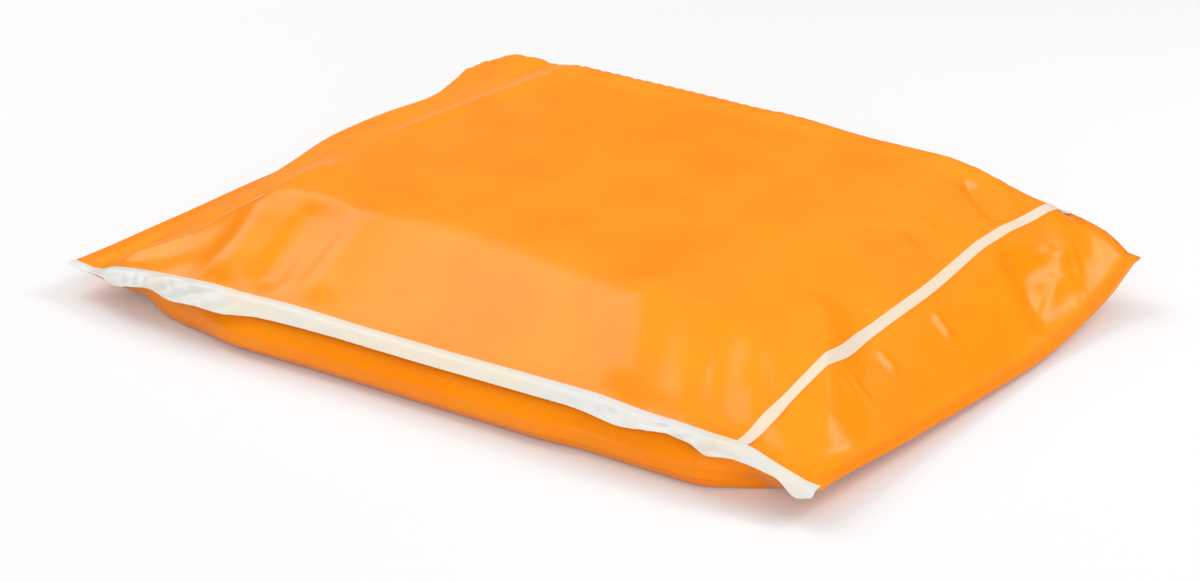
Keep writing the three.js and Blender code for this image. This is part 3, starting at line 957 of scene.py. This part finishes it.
@dataclass
class Studio:
    """A pale floor, soft light from above and the photograph's point of view.

    Attributes:
        azimuth: The camera's turn round the bag, in degrees.
        elevation: The camera's height over the floor, in degrees.
        distance: The camera's distance in metres.
        target: The place that the camera looks at.
        lens: The camera's focal length in millimetres.
        zenith: How bright the world is overhead.
        horizon: How bright it is all round.
        horizon_top: The upward share of a direction up to which it counts as horizon.
        floor_size: The floor's side in metres.
        floor_tone: The floor's own shade of white.
        floor_glow: What is added to the floor where it is seen, so that it shows as white.
        lamps: The lamps that give the film its highlights.
    """

    azimuth: float = 35.995
    elevation: float = 21.536
    distance: float = 0.98008
    target: tuple[float, float, float] = (-0.00484, 0.00734, 0.0)
    lens: float = 80.0
    zenith: float = 0.9
    horizon: float = 0.10
    horizon_top: float = 0.35
    floor_size: float = 12.0
    floor_tone: float = 0.72
    floor_glow: float = 0.13
    lamps: tuple[Lamp, ...] = (
        Lamp("key", (-0.64, 0.00, 0.77), 1.5, (0.9, 1.3), 2.7),
        Lamp("back", (0.58, 0.42, 0.70), 1.3, (0.5, 0.5), 7.0),
        Lamp("fill", (0.55, -0.76, 0.36), 1.8, (2.4, 1.3), 2.1),
        Lamp("ridge", (-0.70, 0.68, 0.19), 1.6, (0.45, 0.25), 0.7),
    )

    def build(self) -> None:
        """Makes the floor, the world, the lamps and the camera."""
        self._floor()
        self._world()
        for lamp in self.lamps:
            self._hang(lamp)
        self._camera()

    def _floor(self) -> None:
        """Lays the floor, which keeps the bag's shadow."""
        bpy.ops.mesh.primitive_plane_add(size=self.floor_size, location=(0.0, 0.0, 0.0))
        floor = bpy.context.object
        floor.name = "floor"
        material = bpy.data.materials.new("floor")
        material.use_nodes = True
        tree = material.node_tree
        shader = tree.nodes["Principled BSDF"]
        shader.inputs["Base Color"].default_value = (self.floor_tone,) * 3 + (1.0,)
        shader.inputs["Roughness"].default_value = 0.9
        shader.inputs["Specular IOR Level"].default_value = 0.0
        shader.inputs["Emission Color"].default_value = (1.0, 1.0, 1.0, 1.0)
        rays = tree.nodes.new("ShaderNodeLightPath")
        seen = rays.outputs["Is Camera Ray"]
        for ray in ("Is Glossy Ray", "Is Transmission Ray"):
            either = tree.nodes.new("ShaderNodeMath")
            either.operation = "MAXIMUM"
            tree.links.new(seen, either.inputs[0])
            tree.links.new(rays.outputs[ray], either.inputs[1])
            seen = either.outputs["Value"]
        glow = tree.nodes.new("ShaderNodeMath")
        glow.operation = "MULTIPLY"
        glow.inputs[1].default_value = self.floor_glow
        tree.links.new(seen, glow.inputs[0])
        tree.links.new(glow.outputs["Value"], shader.inputs["Emission Strength"])
        floor.data.materials.append(material)

    def _world(self) -> None:
        """Lights the bag evenly from overhead, with a dim horizon."""
        world = bpy.data.worlds.new("studio")
        bpy.context.scene.world = world
        world.use_nodes = True
        tree = world.node_tree
        background = tree.nodes["Background"]
        background.inputs["Color"].default_value = (1.0, 1.0, 1.0, 1.0)
        where = tree.nodes.new("ShaderNodeTexCoord")
        parts = tree.nodes.new("ShaderNodeSeparateXYZ")
        tree.links.new(where.outputs["Generated"], parts.inputs["Vector"])
        bright = tree.nodes.new("ShaderNodeMapRange")
        bright.inputs["From Min"].default_value = self.horizon_top
        bright.inputs["From Max"].default_value = 1.0
        bright.inputs["To Min"].default_value = self.horizon
        bright.inputs["To Max"].default_value = self.zenith
        tree.links.new(parts.outputs["Z"], bright.inputs["Value"])
        tree.links.new(bright.outputs["Result"], background.inputs["Strength"])

    @staticmethod
    def _hang(lamp: Lamp) -> None:
        """Hangs a rectangular lamp that faces the bag.

        Args:
            lamp: The lamp.
        """
        light = bpy.data.lights.new(lamp.name, "AREA")
        light.shape = "RECTANGLE"
        light.size, light.size_y = lamp.size
        light.energy = lamp.radiance * math.pi * lamp.size[0] * lamp.size[1]
        holder = bpy.data.objects.new(lamp.name, light)
        bpy.context.scene.collection.objects.link(holder)
        towards = Vector(lamp.direction).normalized()
        holder.location = towards * lamp.away
        holder.rotation_euler = towards.to_track_quat("Z", "Y").to_euler()

    def _camera(self) -> None:
        """Puts the camera where the photograph was taken from."""
        around, up = math.radians(self.azimuth), math.radians(self.elevation)
        back = Vector((math.sin(around) * math.cos(up), -math.cos(around) * math.cos(up), math.sin(up)))
        camera = bpy.data.cameras.new("camera")
        camera.lens = self.lens
        camera.sensor_width = 36.0
        camera.sensor_fit = "HORIZONTAL"
        holder = bpy.data.objects.new("camera", camera)
        bpy.context.scene.collection.objects.link(holder)
        holder.location = Vector(self.target) + back * self.distance
        holder.rotation_euler = back.to_track_quat("Z", "Y").to_euler()
        bpy.context.scene.camera = holder


# Folds that run down the front slope and only fade at the rim
TO_RIM = (0.2, 0.06)

# The front slope's pleats and facets, from left to right, each from the top down
FRONT_FOLDS = (
    Fold((-91.0, -72.0), (-88.3, -113.0), 2.0, 14.0, 30.0, 1.0, fade=TO_RIM),
    Fold((-73.2, -68.0), (-73.8, -113.0), -2.3, 20.0, 16.0, 1.0, fade=TO_RIM),
    Fold((-50.5, -60.0), (-48.5, -113.0), 1.6, 22.0, 20.0, 1.0, 1.8, fade=TO_RIM),
    Fold((66.0, -70.0), (84.0, -113.0), 0.6, 40.0, 22.0, 1.0, fade=TO_RIM),
    Fold((100.6, -73.0), (107.2, -114.0), 2.3, 16.0, 36.0, 1.0, fade=TO_RIM),
    Fold((99.0, -74.0), (125.5, -114.0), -1.0, 20.0, 13.0, 1.0, fade=TO_RIM),
    Fold((112.0, -66.0), (129.0, -94.0), 0.5, 6.0, 10.0, 1.3),
    Fold((108.0, -28.0), (152.0, -92.0), 2.8, 16.0, 20.0, 1.0),
    Fold((137.5, -92.5), (150.5, -87.0), 0.6, 2.4, 2.8, 1.2, -2.0),
    Fold((121.6, -86.6), (124.0, -88.6), -0.4, 1.4, 1.4, 1.4),
)

# The ridge over the left end, a double fold that runs out to the front left ear, and the
# swells of the outline behind it
LEFT_FOLDS = (
    Fold((-78.0, 104.0), (-92.0, -30.0), 0.9, 9.0, 11.0, 1.2, -4.0),
    Fold((-94.0, 76.0), (-104.0, -36.0), 0.8, 8.0, 10.0, 1.2, -4.0),
    Fold((-90.0, -40.0), (-97.0, -80.0), 0.8, 8.0, 8.0, 1.1),
    Fold((-94.0, -70.0), (-158.0, -108.0), 0.8, 9.0, 11.0, 1.2),
    Fold((-120.0, 6.0), (-124.0, -40.0), 1.5, 14.0, 16.0, 1.4),
    Fold((-104.0, 62.0), (-114.0, 8.0), -1.8, 14.0, 16.0, 1.4),
    Fold((-104.0, 96.0), (-140.0, 64.0), 0.9, 12.0, 12.0, 1.3),
    Fold((-104.0, 98.0), (-136.0, 92.0), 2.0, 9.0, 9.0, 1.3, fade=(0.35, 0.3)),
    Fold((-149.0, 70.0), (-137.0, 95.0), -1.8, 7.0, 8.0, 1.3, fade=(0.3, 0.3)),
    Fold((-132.0, 96.0), (-156.0, 60.0), 0.6, 8.0, 9.0, 1.1),
)

# The plateau's back edge, kept full
BACK_FOLDS = (
    Fold((-94.0, 97.0), (60.0, 97.0), 3.8, 10.0, 18.0, 1.3, fade=(0.12, 0.3)),
    Fold((0.0, 97.0), (130.0, 92.0), 1.5, 10.0, 18.0, 1.3),
)

# The creases on both sides of the flap tape and the crumpled back right ear
RIGHT_FOLDS = (
    Fold((134.6, -54.7), (146.0, -54.4), 0.7, 2.6, 4.0, 1.2),
    Fold((134.2, -59.0), (143.0, -58.6), 0.4, 2.0, 3.0, 1.2),
    Fold((133.8, -33.6), (142.5, -33.2), 0.6, 2.6, 3.6, 1.2),
    Fold((133.6, 3.0), (143.5, 2.6), 0.8, 2.6, 3.6, 1.2),
    Fold((105.0, 27.5), (119.0, 22.0), 0.7, 4.0, 8.0, 1.2),
    Fold((104.0, 44.0), (120.0, 38.0), 0.6, 4.0, 8.0, 1.2),
    Fold((101.0, 82.0), (126.0, 68.0), -2.6, 10.0, 6.0, 1.0),
    Fold((118.0, 88.0), (126.0, 74.0), 0.7, 4.0, 5.0, 1.1),
    Fold((141.0, 28.0), (159.0, 49.0), -1.0, 5.0, 7.0, 1.1),
    Fold((132.0, 60.0), (158.0, 53.0), -2.6, 36.0, 10.0, 1.0),
    Fold((151.0, 47.0), (146.0, 76.0), 0.7, 3.0, 6.0, 1.1),
    Fold((146.0, 72.0), (141.5, 95.0), 0.5, 3.0, 6.0, 1.1, 1.5),
    Fold((138.5, 72.0), (145.0, 99.0), 0.4, 3.0, 4.0, 1.1, -1.5),
    Fold((142.0, 60.0), (152.5, 84.0), 0.5, 3.0, 5.0, 1.1, 1.5),
    Fold((136.0, 56.0), (140.0, 84.0), 0.5, 3.0, 6.0, 1.1),
    Fold((150.0, 84.0), (142.0, 88.0), 0.4, 2.0, 3.0, 1.1),
)

# The lower wall's soft waves, and the hollow under the front right ear
WALL_FOLDS = (
    Fold((-120.0, 10.0), (-60.0, 6.5), -0.5, 3.0, 4.0, 1.3, 0.8, Panel.FRONT),
    Fold((-104.0, 12.0), (-98.0, 4.0), 0.6, 5.0, 5.0, 1.2, 0.0, Panel.FRONT),
    Fold((-20.0, 10.0), (62.0, 8.0), -0.4, 3.5, 4.5, 1.3, -0.8, Panel.FRONT),
    Fold((84.0, 13.0), (98.0, 4.0), -0.8, 6.0, 6.0, 1.2, 0.0, Panel.FRONT),
    Fold((-90.0, 4.0), (120.0, 4.0), -1.8, 6.0, 6.0, 1.2, 0.0, Panel.FRONT),
    Fold((108.0, 6.0), (140.0, 6.0), -4.0, 5.0, 5.0, 1.1, 0.0, Panel.FRONT),
    Fold((84.0, 3.0), (142.0, 3.0), -3.0, 7.0, 7.0, 1.1, 0.0, Panel.FRONT, (0.4, 0.3)),
    Fold((-70.0, 12.0), (-20.0, 8.0), -0.5, 3.5, 4.5, 1.3, 0.8, Panel.BACK),
    Fold((20.0, 12.0), (86.0, 8.0), -0.5, 3.5, 4.5, 1.3, 0.8, Panel.BACK),
)


def dress(piece: bpy.types.Object, material: bpy.types.Material, node: str) -> None:
    """Gives a finished piece its material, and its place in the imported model.

    Args:
        piece: The piece.
        material: Its material.
        node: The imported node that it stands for.
    """
    piece.data.materials.clear()
    piece.data.materials.append(material)
    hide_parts(node)
    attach(piece, "root")
    LOG.info("%s: %d faces", piece.name, len(piece.data.polygons))


def main() -> None:
    """Builds the bag, its tapes and the studio, and reports each piece."""
    logging.basicConfig(level=logging.INFO, format="%(name)s: %(message)s")
    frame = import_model()
    bpy.context.scene.view_settings.view_transform = "Standard"
    Studio().build()
    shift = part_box(FLAP_TAPE_NODE)[1].y / MM - BAG_WIDTH / 2
    bag = FilmBag(FRONT_FOLDS + LEFT_FOLDS + BACK_FOLDS + RIGHT_FOLDS + WALL_FOLDS, shift)
    film = bag.build(frame["nodes"][BAG_NODE])
    dress(film, FilmFinish().material(), BAG_NODE)
    skin = BVHTree.FromObject(film, bpy.context.evaluated_depsgraph_get())
    side = SideTape(skin, shift).build()
    dress(side, TapeFinish("seam_tape", *SEAM_WHITES).material(), SIDE_TAPE_NODE)
    flap = FlapTape(skin, shift, cells=(300, 6)).build()
    dress(flap, TapeFinish("flap_tape", *FLAP_WHITES).material(), FLAP_TAPE_NODE)


if __name__ == "__main__":
    main()
